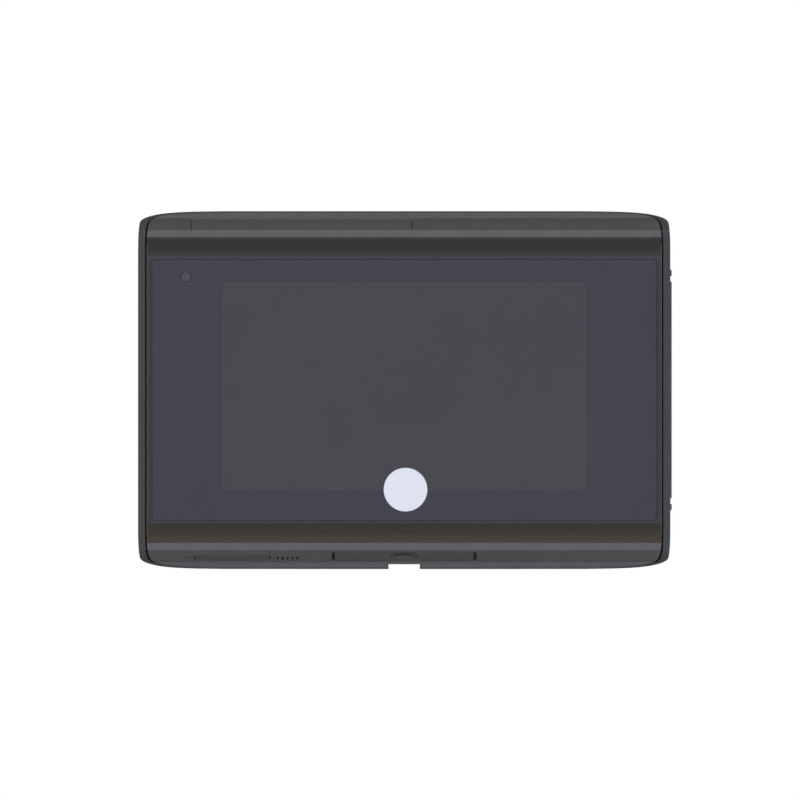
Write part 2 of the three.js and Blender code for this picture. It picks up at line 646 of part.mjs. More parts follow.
function panHeadScrew(x, z, headBack, seat, tip, head, shank) {
  const bar = union(rodY(x, z, head, headBack, seat), rodY(x, z, shank, seat - 0.3, tip, 16));
  const long = head * 0.6;
  const slim = 0.25;
  const slots = [[long, slim], [slim, long]].map(([dx, dz]) => (
    block(x - dx, x + dx, headBack - 1, headBack + 0.6, z - dz, z + dz)
  ));
  return cut(bar, ...slots);
}

// A part soldered to the rear face of the board, standing off it by the solder.
function onBoard(left, right, height, low, high) {
  return block(left, right, boardBack - solder - height, boardBack - solder, low, high);
}

function shieldCan() {
  const can = onBoard(12, 42, 2.2, 2, 28);
  const inside = block(12.4, 41.6, boardBack - solder - 1.8, boardBack + 1, 2.4, 27.6);
  return cut(can, inside);
}

function loudspeaker() {
  const back = panInner + 0.4;
  const { left, right, bottom, height, cone: coneRadius } = speaker;
  const boxBody = block(left, right, back, boardBack - 0.6, bottom, bottom + height);
  const duct = block(left + 1, left + 7.6, back + 1, boardBack - 1.4, bottom - 0.6, bottom + 2.4);
  const cone = rodY(right - 9, bottom + 6.4, coneRadius, back - 1, back + 0.9, 28);
  return cut(boxBody, duct, cone);
}

function speakerGasket() {
  const { width, height } = speakerSeal;
  const ring = roundedRect(width, height, 1, soundSlots.x, soundSlots.v);
  const hole = roundedRect(width - 2.2, height - 1, 0.6, soundSlots.x, soundSlots.v);
  return cut(slabZ(ring, -sealDeep, -wallThickness - 0.05), slabZ(hole, -sealDeep - 1, 0));
}

function micBoot() {
  const radius = 2;
  const top = -wallThickness - 0.05;
  const tube = rodW(micHole.x, micHole.v, radius, top - 2.4, top);
  return cut(tube, rodW(micHole.x, micHole.v, micHole.radius, top - 4, top + 2, 16));
}

function microphone() {
  const top = -wallThickness - 2.55;
  return rodW(micHole.x, micHole.v, 1.9, top - 2.2, top);
}

// ---- tamper switch: the plunger feels the wall through the wall plate ----
function tamperSwitch() {
  const { half, back, bore, floor } = tamperBody;
  const { x, z } = tamper;
  const body = block(x - half, x + half, back, boardBack - solder, z - half, z + half);
  return cut(body, rodY(x, z, bore, back - 1, boardBack - floor));
}

function tamperPlunger() {
  const { back, thickness } = plungerHead;
  const tip = 0.1;
  return union(
    rodY(tamper.x, tamper.z, tamper.head, back, back + thickness),
    rodY(tamper.x, tamper.z, tamper.stem, tip, back + 0.2),
  );
}

function tamperSpring() {
  const { radius, coil, turns } = tamperWire;
  const start = plungerHead.back + plungerHead.thickness + radius + 0.05;
  const end = boardBack - tamperBody.floor - radius - 0.05;
  class Coil extends THREE.Curve {
    getPoint(t) {
      const angle = t * turns * 2 * Math.PI;
      const depth = start + (end - start) * t;
      return new THREE.Vector3(tamper.x + coil * Math.cos(angle), -depth, tamper.z + coil * Math.sin(angle));
    }
  }
  const section = new THREE.Shape().absarc(0, 0, radius, 0, 2 * Math.PI);
  return solid(new THREE.ExtrudeGeometry(section, { steps: 36, extrudePath: new Coil(), curveSegments: 4 }));
}

// ---- reset button behind the side door ----
function resetSwitch() {
  const { z, depth, radius, back } = resetButton;
  const body = block(back - 2.9, back + 1.3, depth - 2, boardBack - solder, z - 2.5, z + 2.5);
  return cut(body, rodX(-depth, z, radius + 0.15, back - 0.5, back + 3));
}

function resetPlunger() {
  const { z, depth, radius, back } = resetButton;
  return rodX(-depth, z, radius, back, frontHalfWidth - 0.4);
}

function servicePort() {
  const right = frontHalfWidth - sideWall - 0.2;
  const half = port.halfHeight;
  const front = boardBack - solder;
  const left = board.halfWidth - 4.7;
  const inside = half - 0.5;
  const blade = half - 1.2;
  const shell = block(left, right, port.back, front, port.z - half, port.z + half);
  const mouth = block(left + 1.8, right + 1, port.back + 0.4, front - 0.4, port.z - inside, port.z + inside);
  const tongue = block(left + 1.2, right - 0.6, port.back + 1.3, front - 1.3, port.z - blade, port.z + blade);
  return union(cut(shell, mouth), tongue);
}

function terminalBlock() {
  const right = frontHalfWidth - sideWall - 0.2;
  const left = board.halfWidth - 4.7;
  let body = block(left, right, terminals.back, boardBack - solder, terminals.low, terminals.high);
  const pitch = (terminals.high - terminals.low) / terminals.ways;
  for (let i = 0; i < terminals.ways; i += 1) {
    const z = terminals.low + pitch * (i + 0.5);
    body = cut(body, block(right - 5, right + 1, terminals.back + 0.6, boardBack - 0.9, z - 1.3, z + 1.3));
    body = cut(body, rodY(left + 2.4, z, 1.1, terminals.back - 1, terminals.back + 1, 12));
  }
  return body;
}

function cardSocket() {
  const half = 8.5;
  const front = boardBack - solder;
  const low = board.bottom + 0.4;
  const shell = onBoard(cardPlug.x - half, cardPlug.x + half, 2.2, low, low + 15.6);
  const left = cardPlug.x - half + 0.7;
  const right = cardPlug.x + half - 0.7;
  return cut(shell, block(left, right, front - 1.9, front - 0.5, low - 1.4, low + 14.6));
}

function cellHolder() {
  const { x, z, radius, holderHalf: half } = cell;
  const body = onBoard(x - half, x + half, 3.2, z - half, z + half);
  return cut(body, rodY(x, z, radius + 0.25, 0, boardBack - solder - 0.5, 28));
}

function buttonCell() {
  const front = boardBack - solder - 0.5;
  return rodY(cell.x, cell.z, cell.radius, front - cell.thickness, front, 28);
}

function sounder() {
  const front = boardBack - solder;
  const can = rodY(buzzer.x, buzzer.z, buzzer.radius, front - buzzer.height, front, 32);
  return cut(can, rodY(buzzer.x, buzzer.z, 1, 0, boardBack - 3, 16));
}

// ---- lids, plate, jack and plug ----
function batteryLid() {
  const { left, right, thickness, barrel, corner } = batteryDoor;
  const front = 0.1 + seam - wallRun / 2;
  const length = right - left - 2 * seam;
  const shape = new THREE.Shape();
  const [l, r] = [batteryCentre - length / 2, batteryCentre + length / 2];
  shape.moveTo(l + corner, front);
  shape.lineTo(r - corner, front);
  shape.absarc(r - corner, front + corner, corner, -Math.PI / 2, 0);
  shape.lineTo(r, lidAxis.v);
  shape.lineTo(l, lidAxis.v);
  shape.lineTo(l, front + corner);
  shape.absarc(l + corner, front + corner, corner, Math.PI, 1.5 * Math.PI);
  const slab = slabZ(shape, -thickness, 0);
  const roll = rodX(lidAxis.v, lidAxis.w, barrel, l, r);
  const pegs = rodX(lidAxis.v, lidAxis.w, peg.radius, l - peg.length, r + peg.length, 16);
  const past = block(l - 1, r + 1, -lidAxis.v - 3, -lidAxis.v, lidAxis.w, 1);
  return union(cut(slab, past), roll, pegs);
}

function sideLid() {
  const half = sideDoor.length / 2;
  const { axisDepth, front, thickness, barrel, pin } = sideDoor;
  const leaf = block(halfWidth - thickness, halfWidth, axisDepth, front, -half, half);
  const roll = rodZ(hingeX, axisDepth, barrel, -half, half);
  return cut(union(leaf, roll), rodZ(hingeX, axisDepth, pin + hingeClearance, -half - 1, half + 1));
}

function hingePin() {
  const end = sideDoor.length / 2 + ear.gap + ear.width - 0.1;
  return rodZ(hingeX, sideDoor.axisDepth, sideDoor.pin, -end, end);
}

function connectorPlate() {
  const { width, height, v, plate, endGap } = connector;
  const shape = roundedRect(width - 2 * endGap, height - 2 * seam, 1, 0, v);
  return cut(slabZ(shape, -plate, 0), rodW(0, 0, jack.ring + 0.2, -3, 3, 32));
}

// Turned profile of the jack: ring, flange, bored barrel and centre pin, about its own axis.
function dcJack() {
  const { ring, body, bore, pin, length } = jack;
  const flangeTop = -connector.plate - 0.2;
  const bottom = 1.2 - length;
  const profile = [
    [0, -length], [body, -length], [body, flangeTop], [ring, flangeTop], [ring, -0.15],
    [bore + 0.3, -0.15], [bore, -0.5], [bore, bottom],
    [pin, bottom], [pin, -1.8], [pin * 0.7, -1.4], [0, -1.4],
  ].map(([r, w]) => new THREE.Vector2(r, w));
  return solid(new THREE.LatheGeometry(profile, 32).rotateX(Math.PI / 2));
}

function plugSolid() {
  const { x, v, width, height, head, stem } = cardPlug;
  const top = slabZ(roundedRect(width, height, 1.4, x, v), -head, 0);
  return union(top, slabZ(roundedRect(width - 2.6, 3.3, 0.8, x, v), -head - stem, -head + 0.2));
}

// Insulated wire through points of X, depth and height above a base.
function wireLead(points, base, radius) {
  const route = points.map(([x, depth, rise]) => new THREE.Vector3(x, -depth, base + rise));
  const path = new THREE.CatmullRomCurve3(route);
  const section = new THREE.Shape().absarc(0, 0, radius, 0, 2 * Math.PI);
  return solid(new THREE.ExtrudeGeometry(section, { steps: 16, extrudePath: path, curveSegments: 4 }));
}

// ---- the assembly ----
addPiece('wall_plate', wallPlate(), casing);
addPiece('rear_housing', rearHousing(), casing);
addPiece('front_housing', frontHousing(), casing);
addPiece('front_fascia', frontFascia(), gloss);
addPiece('lens_tape', lensTape(), darkPlastic);
addPiece('touch_lens', touchLens(), glass);
addPiece('light_pipe', lightPipe(), pale);
const badgeFront = panelDepth + badge.thickness;
addPiece('badge_disc', rodY(badge.x, badge.z, badge.radius, panelDepth, badgeFront, 48), pale);

addPiece('lcd_gasket', lcdGasket(), rubber);
const glassShape = roundedRect(lcd.width - 1.6, lcd.height - 1.6, 0.6);
addPiece('lcd_glass', slabY(glassShape, glassBack, lcdFront), darkPlastic);
addPiece('backlight_frame', backlightFrame(), steel);
addPiece('display_flex', displayFlex(), wrap);
const flexSocket = [boardFront, boardFront + 0.9, flex.bottom - 2.6, flex.bottom - 0.2];
addPiece('flex_connector', block(-flex.width / 2, flex.width / 2, ...flexSocket), darkPlastic);

addPiece('main_board', mainBoard(), circuit);
boardScrewPlaces.forEach(([x, z], i) => {
  const { head, shank } = boardScrew;
  const body = panHeadScrew(x, z, boardBack - 1.4, boardBack, deckFront - 0.9, head, shank);
  addPiece(`board_screw_${i + 1}`, body, steel);
});
screwPlaces.forEach(([x, z], i) => {
  const { head, headHeight, shank } = housingScrew;
  const seat = recessDepth + headHeight + 0.2;
  const body = panHeadScrew(x, z, seat - headHeight, seat, deckBack - 1.2, head, shank);
  addPiece(`housing_screw_${i + 1}`, body, steel);
});
addPiece('processor_shield', shieldCan(), steel);
addPiece('radio_module', onBoard(12, 36, 2.4, board.bottom + 6, board.bottom + 22), steel);
const antennaLow = halfHeight - 6.8;
addPiece('radio_antenna', block(14, 50, 5.6, 11.4, antennaLow, antennaLow + 0.6), circuit);
addPiece('buzzer', sounder(), darkPlastic);
addPiece('backup_cell_holder', cellHolder(), darkPlastic);
addPiece('backup_cell', buttonCell(), steel);
const ledTop = statusWindow.z - 0.3;
addPiece('status_led', block(-57.6, -56, boardFront, boardFront + 0.7, ledTop - 1.6, ledTop), pale);
addPiece('loudspeaker', loudspeaker(), darkPlastic);
const packMiddle = battery.top - battery.height / 2;
const packShape = roundedRect(battery.width, battery.height, 1.5, batteryCentre, packMiddle);
addPiece('battery_pack', slabY(packShape, batteryBack, batteryFront), wrap);
const packSocket = onBoard(batteryCentre - 6, batteryCentre + 6, 3.6, batteryLow - 6, batteryLow - 0.4);
addPiece('battery_connector', packSocket, darkPlastic);
addPiece('card_socket', cardSocket(), steel);
addPiece('service_port', servicePort(), steel);
addPiece('terminal_block', terminalBlock(), circuit);
addPiece('reset_switch', resetSwitch(), darkPlastic);
addPiece('reset_button', resetPlunger(), pale);
addPiece('tamper_switch', tamperSwitch(), darkPlastic);
addPiece('tamper_plunger', tamperPlunger(), pale);
addPiece('tamper_spring', tamperSpring(), steel);
const jackLead = [[0, 8.6, 0], [0, 7.6, 2.5], [3, 7.4, 5], [7, 8.8, 6], [8, 10.2, 6]];
addPiece('jack_lead', wireLead(jackLead, board.bottom, 0.7), darkPlastic);
const speakerLead = [[-17, 8, 0.5], [-16, 7.6, 2], [-12, 7.4, 3], [-8, 8.6, 3.5], [-7, 10.2, 3.5]];
addPiece('speaker_lead', wireLead(speakerLead, speaker.bottom + speaker.height, 0.6), darkPlastic);

addPiece('side_door', sideLid(), casing);
addPiece('side_door_pin', hingePin(), steel);

addPiece('battery_door', batteryLid(), casing, topWall);
addPiece('connector_plate', connectorPlate(), casing, bottomWall);
addPiece('dc_jack', dcJack(), darkPlastic, bottomWall);
addPiece('card_plug', plugSolid(), rubber, bottomWall);
addPiece('speaker_gasket', speakerGasket(), rubber, bottomWall);
addPiece('mic_boot', micBoot(), rubber, bottomWall);
addPiece('microphone', microphone(), steel, bottomWall);
cadPanel.add(topWall, bottomWall);

export default cadPanel;
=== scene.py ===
import json

import bmesh
import bpy
import numpy as np
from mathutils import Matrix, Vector


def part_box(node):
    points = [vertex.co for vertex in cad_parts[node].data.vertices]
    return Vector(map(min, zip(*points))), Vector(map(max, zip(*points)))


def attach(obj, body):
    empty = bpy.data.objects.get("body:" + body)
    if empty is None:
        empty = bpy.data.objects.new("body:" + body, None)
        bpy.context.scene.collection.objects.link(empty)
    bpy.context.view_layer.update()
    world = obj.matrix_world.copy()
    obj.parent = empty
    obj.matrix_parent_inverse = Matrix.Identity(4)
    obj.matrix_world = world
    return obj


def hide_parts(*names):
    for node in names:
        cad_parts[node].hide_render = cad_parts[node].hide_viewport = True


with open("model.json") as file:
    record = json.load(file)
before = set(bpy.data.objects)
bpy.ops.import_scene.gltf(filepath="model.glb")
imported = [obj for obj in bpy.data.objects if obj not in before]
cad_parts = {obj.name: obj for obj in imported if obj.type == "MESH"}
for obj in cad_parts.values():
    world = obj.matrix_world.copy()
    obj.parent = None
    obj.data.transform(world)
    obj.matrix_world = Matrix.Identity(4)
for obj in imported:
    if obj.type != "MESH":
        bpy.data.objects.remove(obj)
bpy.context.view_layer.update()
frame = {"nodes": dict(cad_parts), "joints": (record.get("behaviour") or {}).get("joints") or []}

# Touch panel of an intruder alarm. X runs across, Z up, the wall is Y = 0 and the panel faces -Y.
# Lengths in the dictionaries are millimetres and meshes are in metres.
mm = 0.001
scene = bpy.context.scene
scene.view_settings.view_transform = "Standard"


def say(text):
    print("panel:", text, flush=True)


# Camera, light and floor
view = {"orthoScale": 210.53, "centreX": -1.10, "centreZ": -2.61, "distance": 600, "farthest": 20000}
studio = {
    "ambient": 0.24, "ambientTint": (0.985, 0.99, 1.0),
    "floorZ": -72, "floorSize": 9000, "floorColour": (243, 243, 245), "floorRoughness": 0.85,
    "floorLift": 0.34,
}


def linear(rgb):
    # Screen colour to linear light: the usual two-part curve
    c = np.asarray(rgb, float) / 255
    return tuple(np.where(c <= 0.04045, c / 12.92, ((c + 0.055) / 1.055) ** 2.4)) + (1.0,)


def makeCamera():
    data = bpy.data.cameras.new("camera")
    data.type = "ORTHO"
    data.ortho_scale = view["orthoScale"] * mm
    data.clip_end = view["farthest"] * mm
    camera = bpy.data.objects.new("camera", data)
    camera.location = Vector((view["centreX"], -view["distance"], view["centreZ"])) * mm
    camera.rotation_euler = (np.pi / 2, 0, 0)
    scene.collection.objects.link(camera)
    scene.camera = camera


def makeWorld():
    # Plain white where the camera, a reflection or a clear part looks; a weaker soft light on surfaces
    world = bpy.data.worlds.new("studioWorld")
    world.use_nodes = True
    tree = world.node_tree
    tree.nodes.clear()
    ambient = tree.nodes.new("ShaderNodeBackground")
    ambient.inputs["Color"].default_value = (*studio["ambientTint"], 1)
    ambient.inputs["Strength"].default_value = studio["ambient"]
    plain = tree.nodes.new("ShaderNodeBackground")
    plain.inputs["Color"].default_value = (1, 1, 1, 1)
    plain.inputs["Strength"].default_value = 1
    path = tree.nodes.new("ShaderNodeLightPath")
    seen = mathNode(tree, "MAXIMUM", path.outputs["Is Camera Ray"], path.outputs["Is Glossy Ray"])
    seen = mathNode(tree, "MAXIMUM", seen, path.outputs["Is Transmission Ray"])
    mix = tree.nodes.new("ShaderNodeMixShader")
    out = tree.nodes.new("ShaderNodeOutputWorld")
    tree.links.new(seen, mix.inputs[0])
    tree.links.new(ambient.outputs[0], mix.inputs[1])
    tree.links.new(plain.outputs[0], mix.inputs[2])
    tree.links.new(mix.outputs[0], out.inputs["Surface"])
    scene.world = world


# Each softbox: place, width, power, and whether reflections show it
softboxes = {
    "frontBox": ((0, -2400, -30), 1600, 93, False),
    "leftBox": ((-1500, -1100, 100), 600, 0.6, True),
    "rightBox": ((1700, -700, 100), 600, 0.6, True),
    "rearLeftBox": ((-1250, 2000, 200), 1100, 44, False),
    "rearRightBox": ((1250, 2000, 200), 1100, 44, False),
}


def makeSoftboxes():
    for name, (place, width, power, mirrored) in softboxes.items():
        data = bpy.data.lights.new(name, "AREA")
        data.size = width * mm
        data.energy = power
        lamp = bpy.data.objects.new(name, data)
        lamp.location = Vector(place) * mm
        lamp.rotation_euler = (-Vector(place)).to_track_quat("-Z", "Y").to_euler()
        lamp.visible_glossy = mirrored
        scene.collection.objects.link(lamp)


def makeFloor():
    half = studio["floorSize"] * mm / 2
    z = studio["floorZ"] * mm
    corners = [(-half, -half, z), (half, -half, z), (half, half, z), (-half, half, z)]
    mesh = bpy.data.meshes.new("floor")
    mesh.from_pydata(corners, [], [(0, 1, 2, 3)])
    floor = bpy.data.objects.new("floor", mesh)
    scene.collection.objects.link(floor)
    material, tree, shader, place = newMaterial("floorPaint", studio["floorColour"], specular=0.1)
    shader.inputs["Roughness"].default_value = studio["floorRoughness"]
    speckle(tree, shader, place, studio["floorColour"], 0.01, 9)
    # Lifted towards white where the camera sees it, so the page stays pale and the shadow shows
    lift = tree.nodes.new("ShaderNodeEmission")
    path = tree.nodes.new("ShaderNodeLightPath")
    seen = mathNode(tree, "MAXIMUM", path.outputs["Is Camera Ray"], path.outputs["Is Glossy Ray"])
    tree.links.new(mathNode(tree, "MULTIPLY", seen, studio["floorLift"]), lift.inputs["Strength"])
    both = tree.nodes.new("ShaderNodeAddShader")
    tree.links.new(shader.outputs[0], both.inputs[0])
    tree.links.new(lift.outputs[0], both.inputs[1])
    tree.links.new(both.outputs[0], tree.nodes["Material Output"].inputs["Surface"])
    mesh.materials.append(material)


# Helpers for shader nodes
def fillSockets(tree, sockets, values):
    # A value is either another node's output, which is linked, or a number, which is set
    for socket, value in zip(sockets, values):
        if isinstance(value, bpy.types.NodeSocket):
            tree.links.new(value, socket)
        else:
            socket.default_value = value


def mathNode(tree, operation, *values):
    n = tree.nodes.new("ShaderNodeMath")
    n.operation = operation
    fillSockets(tree, n.inputs, values)
    return n.outputs[0]


def vectorNode(tree, operation, *values):
    n = tree.nodes.new("ShaderNodeVectorMath")
    n.operation = operation
    fillSockets(tree, n.inputs, values)
    return n.outputs["Value" if operation in ("LENGTH", "DISTANCE") else "Vector"]


def newMaterial(name, colour, metallic=0.0, specular=0.5):
    material = bpy.data.materials.new(name)
    material.use_nodes = True
    tree = material.node_tree
    shader = tree.nodes["Principled BSDF"]
    shader.inputs["Base Color"].default_value = linear(colour)
    shader.inputs["Metallic"].default_value = metallic
    shader.inputs["Specular IOR Level"].default_value = specular
    place = tree.nodes.new("ShaderNodeTexCoord").outputs["Object"]
    return material, tree, shader, place


def stretched(tree, place, scale):
    n = tree.nodes.new("ShaderNodeMapping")
    n.inputs["Scale"].default_value = scale
    tree.links.new(place, n.inputs["Vector"])
    return n.outputs["Vector"]


def noise(tree, place, sizeMm, detail=3.0):
    # Soft noise whose blotches are about sizeMm across
    n = tree.nodes.new("ShaderNodeTexNoise")
    n.inputs["Scale"].default_value = 1000 / sizeMm
    n.inputs["Detail"].default_value = detail
    tree.links.new(place, n.inputs["Vector"])
    return n.outputs["Fac"]


def remap(tree, value, low, high, fromLow=0.3, fromHigh=0.7):
    n = tree.nodes.new("ShaderNodeMapRange")
    fillSockets(tree, n.inputs[:5], (value, fromLow, fromHigh, low, high))
    return n.outputs["Result"]


def mixColour(tree, factor, first, second):
    n = tree.nodes.new("ShaderNodeMix")
    n.data_type = "RGBA"
    fillSockets(tree, (n.inputs[0], n.inputs[6], n.inputs[7]), (factor, first, second))
    return n.outputs[2]


def addBump(tree, shader, height, depthMm, strength=1.0):
    n = tree.nodes.new("ShaderNodeBump")
    n.inputs["Distance"].default_value = depthMm * mm
    n.inputs["Strength"].default_value = strength
    tree.links.new(height, n.inputs["Height"])
    if shader.inputs["Normal"].is_linked:
        tree.links.new(shader.inputs["Normal"].links[0].from_socket, n.inputs["Normal"])
    tree.links.new(n.outputs["Normal"], shader.inputs["Normal"])


def varyRoughness(tree, shader, place, sizeMm, low, high):
    tree.links.new(remap(tree, noise(tree, place, sizeMm), low, high), shader.inputs["Roughness"])


def shaded(colour, factor):
    return tuple(c * factor for c in linear(colour)[:3]) + (1,)


def speckle(tree, shader, place, colour, amount, sizeMm):
    # The colour drifts a little lighter and darker over the surface
    drift = remap(tree, noise(tree, place, sizeMm), 0, 1)
    tone = mixColour(tree, drift, shaded(colour, 1 - amount), shaded(colour, 1 + amount))
    tree.links.new(tone, shader.inputs["Base Color"])


# Finishes: sizes of grain and blotches are millimetres
casingLook = {
    "colour": (96, 96, 99), "rearColour": (80, 80, 84), "plateColour": (88, 88, 91),
    "roughness": (0.52, 0.64), "specular": 0.008, "drift": 0.05, "driftSize": 2.2, "polishSize": 5.0,
    "grain": 0.32, "grainDepth": 0.012, "wave": 14.0, "waveDepth": 0.02,
}


def casingPlastic(name, colour):
    # Spark-eroded texture: a fine grain in the mould, with a slow drift in tone
    look = casingLook
    material, tree, shader, place = newMaterial(name, colour, specular=look["specular"])
    speckle(tree, shader, place, colour, look["drift"], look["driftSize"])
    varyRoughness(tree, shader, place, look["polishSize"], *look["roughness"])
    addBump(tree, shader, noise(tree, place, look["grain"], 4), look["grainDepth"])
    addBump(tree, shader, noise(tree, place, look["wave"], 1), look["waveDepth"], 0.25)
    return material


# Painted reflections on the fascia as (height, colour), from its lower edge to its upper one: the
# surroundings mirrored in its curved rails, painted into its colour as a tone that changes with height
fasciaReflectionTones = [
    (-40.25, (66, 50, 44)), (-38.9, (58, 50, 38)), (-37.3, (44, 36, 26)), (-35.2, (36, 32, 30)),
    (-34.4, (46, 45, 54)), (-33.4, (36, 36, 45)), (33.4, (36, 36, 45)), (34.4, (46, 46, 58)),
    (35.2, (42, 42, 52)), (36.0, (34, 31, 30)), (37.2, (24, 22, 18)), (38.3, (22, 22, 30)),
    (40.25, (18, 16, 20)),
]
fasciaLook = {
    "colour": (30, 30, 32), "roughness": (0.09, 0.15), "specular": 0.36,
    "hairline": 0.5, "hairlineDark": 0.12, "wave": 9.0, "waveDepth": 0.004,
}


def fasciaGloss():
    # Polished dark plastic with painted reflections that run across its two rails by height, and hairlines
    # left by wiping
    look = fasciaLook
    material, tree, shader, place = newMaterial("fasciaGloss", look["colour"], specular=look["specular"])
    split = tree.nodes.new("ShaderNodeSeparateXYZ")
    tree.links.new(place, split.inputs[0])
    low, high = fasciaReflectionTones[0][0], fasciaReflectionTones[-1][0]
    along = remap(tree, split.outputs["Z"], 0, 1, low * mm, high * mm)
    # A ramp along the height paints the reflections into the base colour
    paintedReflections = tree.nodes.new("ShaderNodeValToRGB")
    stops = paintedReflections.color_ramp.elements
    while len(stops) < len(fasciaReflectionTones):
        stops.new(0.5)
    for stop, (z, colour) in zip(stops, fasciaReflectionTones):
        stop.position = (z - low) / (high - low)
        stop.color = linear(colour)
    tree.links.new(along, paintedReflections.inputs["Fac"])
    streaks = noise(tree, stretched(tree, place, (0.05, 1, 1)), look["hairline"], 2)
    share = remap(tree, streaks, 0, look["hairlineDark"])
    wiped = mixColour(tree, share, paintedReflections.outputs["Color"], (0, 0, 0, 1))
    tree.links.new(wiped, shader.inputs["Base Color"])
    varyRoughness(tree, shader, place, 7.0, *look["roughness"])
    addBump(tree, shader, noise(tree, place, look["wave"], 1), look["waveDepth"], 0.3)
    return material


def roundedDistance(tree, place, centre, half, radius):
    # Distance in metres outside a rounded rectangle seen from the front, below zero inside it
    flat = vectorNode(tree, "MULTIPLY", place, (1, 0, 1))
    middle = (centre[0] * mm, 0, centre[1] * mm)
    offset = vectorNode(tree, "ABSOLUTE", vectorNode(tree, "SUBTRACT", flat, middle))
    reach = ((half[0] - radius) * mm, 0, (half[1] - radius) * mm)
    corner = vectorNode(tree, "SUBTRACT", offset, reach)
    beyond = vectorNode(tree, "LENGTH", vectorNode(tree, "MAXIMUM", corner, (0, 0, 0)))
    return mathNode(tree, "SUBTRACT", beyond, radius * mm)


screen = {"x": 0.1, "z": 0.95, "width": 96.3, "height": 55.3, "corner": 1.6, "line": 0.16}
lensLook = {
    "glass": (47, 47, 60), "window": (54, 53, 62), "line": (44, 44, 54),
    "roughness": (0.05, 0.09), "specular": 0.35, "cloud": 26.0, "cloudDark": 0.05,
}


def touchGlass():
    # Dark printed glass: the display's window is a touch warmer, inside a thin printed line
    look = lensLook
    material, tree, shader, place = newMaterial("touchGlass", look["glass"], specular=look["specular"])
    half = (screen["width"] / 2, screen["height"] / 2)
    edge = roundedDistance(tree, place, (screen["x"], screen["z"]), half, screen["corner"])
    inside = mathNode(tree, "LESS_THAN", edge, 0.0)
    onLine = mathNode(tree, "COMPARE", edge, 0.0, screen["line"] * mm)
    tone = mixColour(tree, inside, linear(look["glass"]), linear(look["window"]))
    tone = mixColour(tree, onLine, tone, linear(look["line"]))
    cloud = remap(tree, noise(tree, place, look["cloud"], 2), 0, look["cloudDark"])
    tree.links.new(mixColour(tree, cloud, tone, (0, 0, 0, 1)), shader.inputs["Base Color"])
    varyRoughness(tree, shader, place, 12.0, *look["roughness"])
    return material


discLook = {"colour": (209, 213, 225), "specular": 0.4, "ringsPerMm": 5, "ringDepth": 0.003}


def spunDisc(centreX, centreZ):
    # Pale lacquered disc with fine rings from turning: a sine of the distance from its middle
    look = discLook
    material, tree, shader, place = newMaterial("spunDisc", look["colour"], specular=look["specular"])
    speckle(tree, shader, place, look["colour"], 0.02, 1.5)
    flat = vectorNode(tree, "MULTIPLY", place, (1, 0, 1))
    reach = vectorNode(tree, "DISTANCE", flat, (centreX, 0, centreZ))
    rings = mathNode(tree, "MULTIPLY", reach, 2 * np.pi * look["ringsPerMm"] / mm)
    addBump(tree, shader, mathNode(tree, "SINE", rings), look["ringDepth"], 0.5)
    varyRoughness(tree, shader, place, 3.0, 0.32, 0.44)
    return material


# Plain mouldings: colour, specular, (drift in tone, its size), (polish size, least and most roughness),
# (grain, detail, depth)
mouldings = {
    "softRubber": ((81, 81, 83), 0.08, (0.06, 0.9), (3.0, 0.72, 0.88), (0.22, 3, 0.01)),
    "blackPlastic": ((34, 34, 36), 0.3, (0.12, 1.4), (2.5, 0.36, 0.54), (0.25, 3, 0.006)),
    "paleNylon": ((206, 207, 210), 0.4, (0.03, 1.1), (2.0, 0.34, 0.48), (0.5, 2, 0.004)),
}
nylonDepth = {"weight": 0.1, "scale": 0.6}


def moulding(name):
    colour, specular, drift, polish, (grain, detail, depth) = mouldings[name]
    material, tree, shader, place = newMaterial(name, colour, specular=specular)
    speckle(tree, shader, place, colour, *drift)
    varyRoughness(tree, shader, place, *polish)
    addBump(tree, shader, noise(tree, place, grain, detail), depth)
    return material


def paleNylon():
    # Nylon lets a little light into its skin
    material = moulding("paleNylon")
    shader = material.node_tree.nodes["Principled BSDF"]
    shader.inputs["Subsurface Weight"].default_value = nylonDepth["weight"]
    shader.inputs["Subsurface Scale"].default_value = nylonDepth["scale"] * mm
    return material


steelLook = {"colour": (196, 197, 201), "light": 1.06, "dark": 0.82, "line": 0.18, "lineDepth": 0.003}


def brushedSteel():
    # Drawn lines: noise stretched along the grain
    look = steelLook
    material, tree, shader, place = newMaterial("brushedSteel", look["colour"], metallic=1.0)
    lines = noise(tree, stretched(tree, place, (0.04, 1, 1)), look["line"], 4)
    dark, light = shaded(look["colour"], look["dark"]), shaded(look["colour"], look["light"])
    tree.links.new(mixColour(tree, remap(tree, lines, 0, 1), dark, light), shader.inputs["Base Color"])
    tree.links.new(remap(tree, lines, 0.24, 0.42), shader.inputs["Roughness"])
    addBump(tree, shader, lines, look["lineDepth"], 0.6)
    return material


boardLook = {
    "mask": (24, 84, 56), "maskDark": (20, 74, 50), "track": (60, 128, 80), "pad": (196, 176, 110),
    "tracksPerMetre": 180, "trackWidth": 0.035, "padsPerMetre": 420, "padSize": 0.16,
}


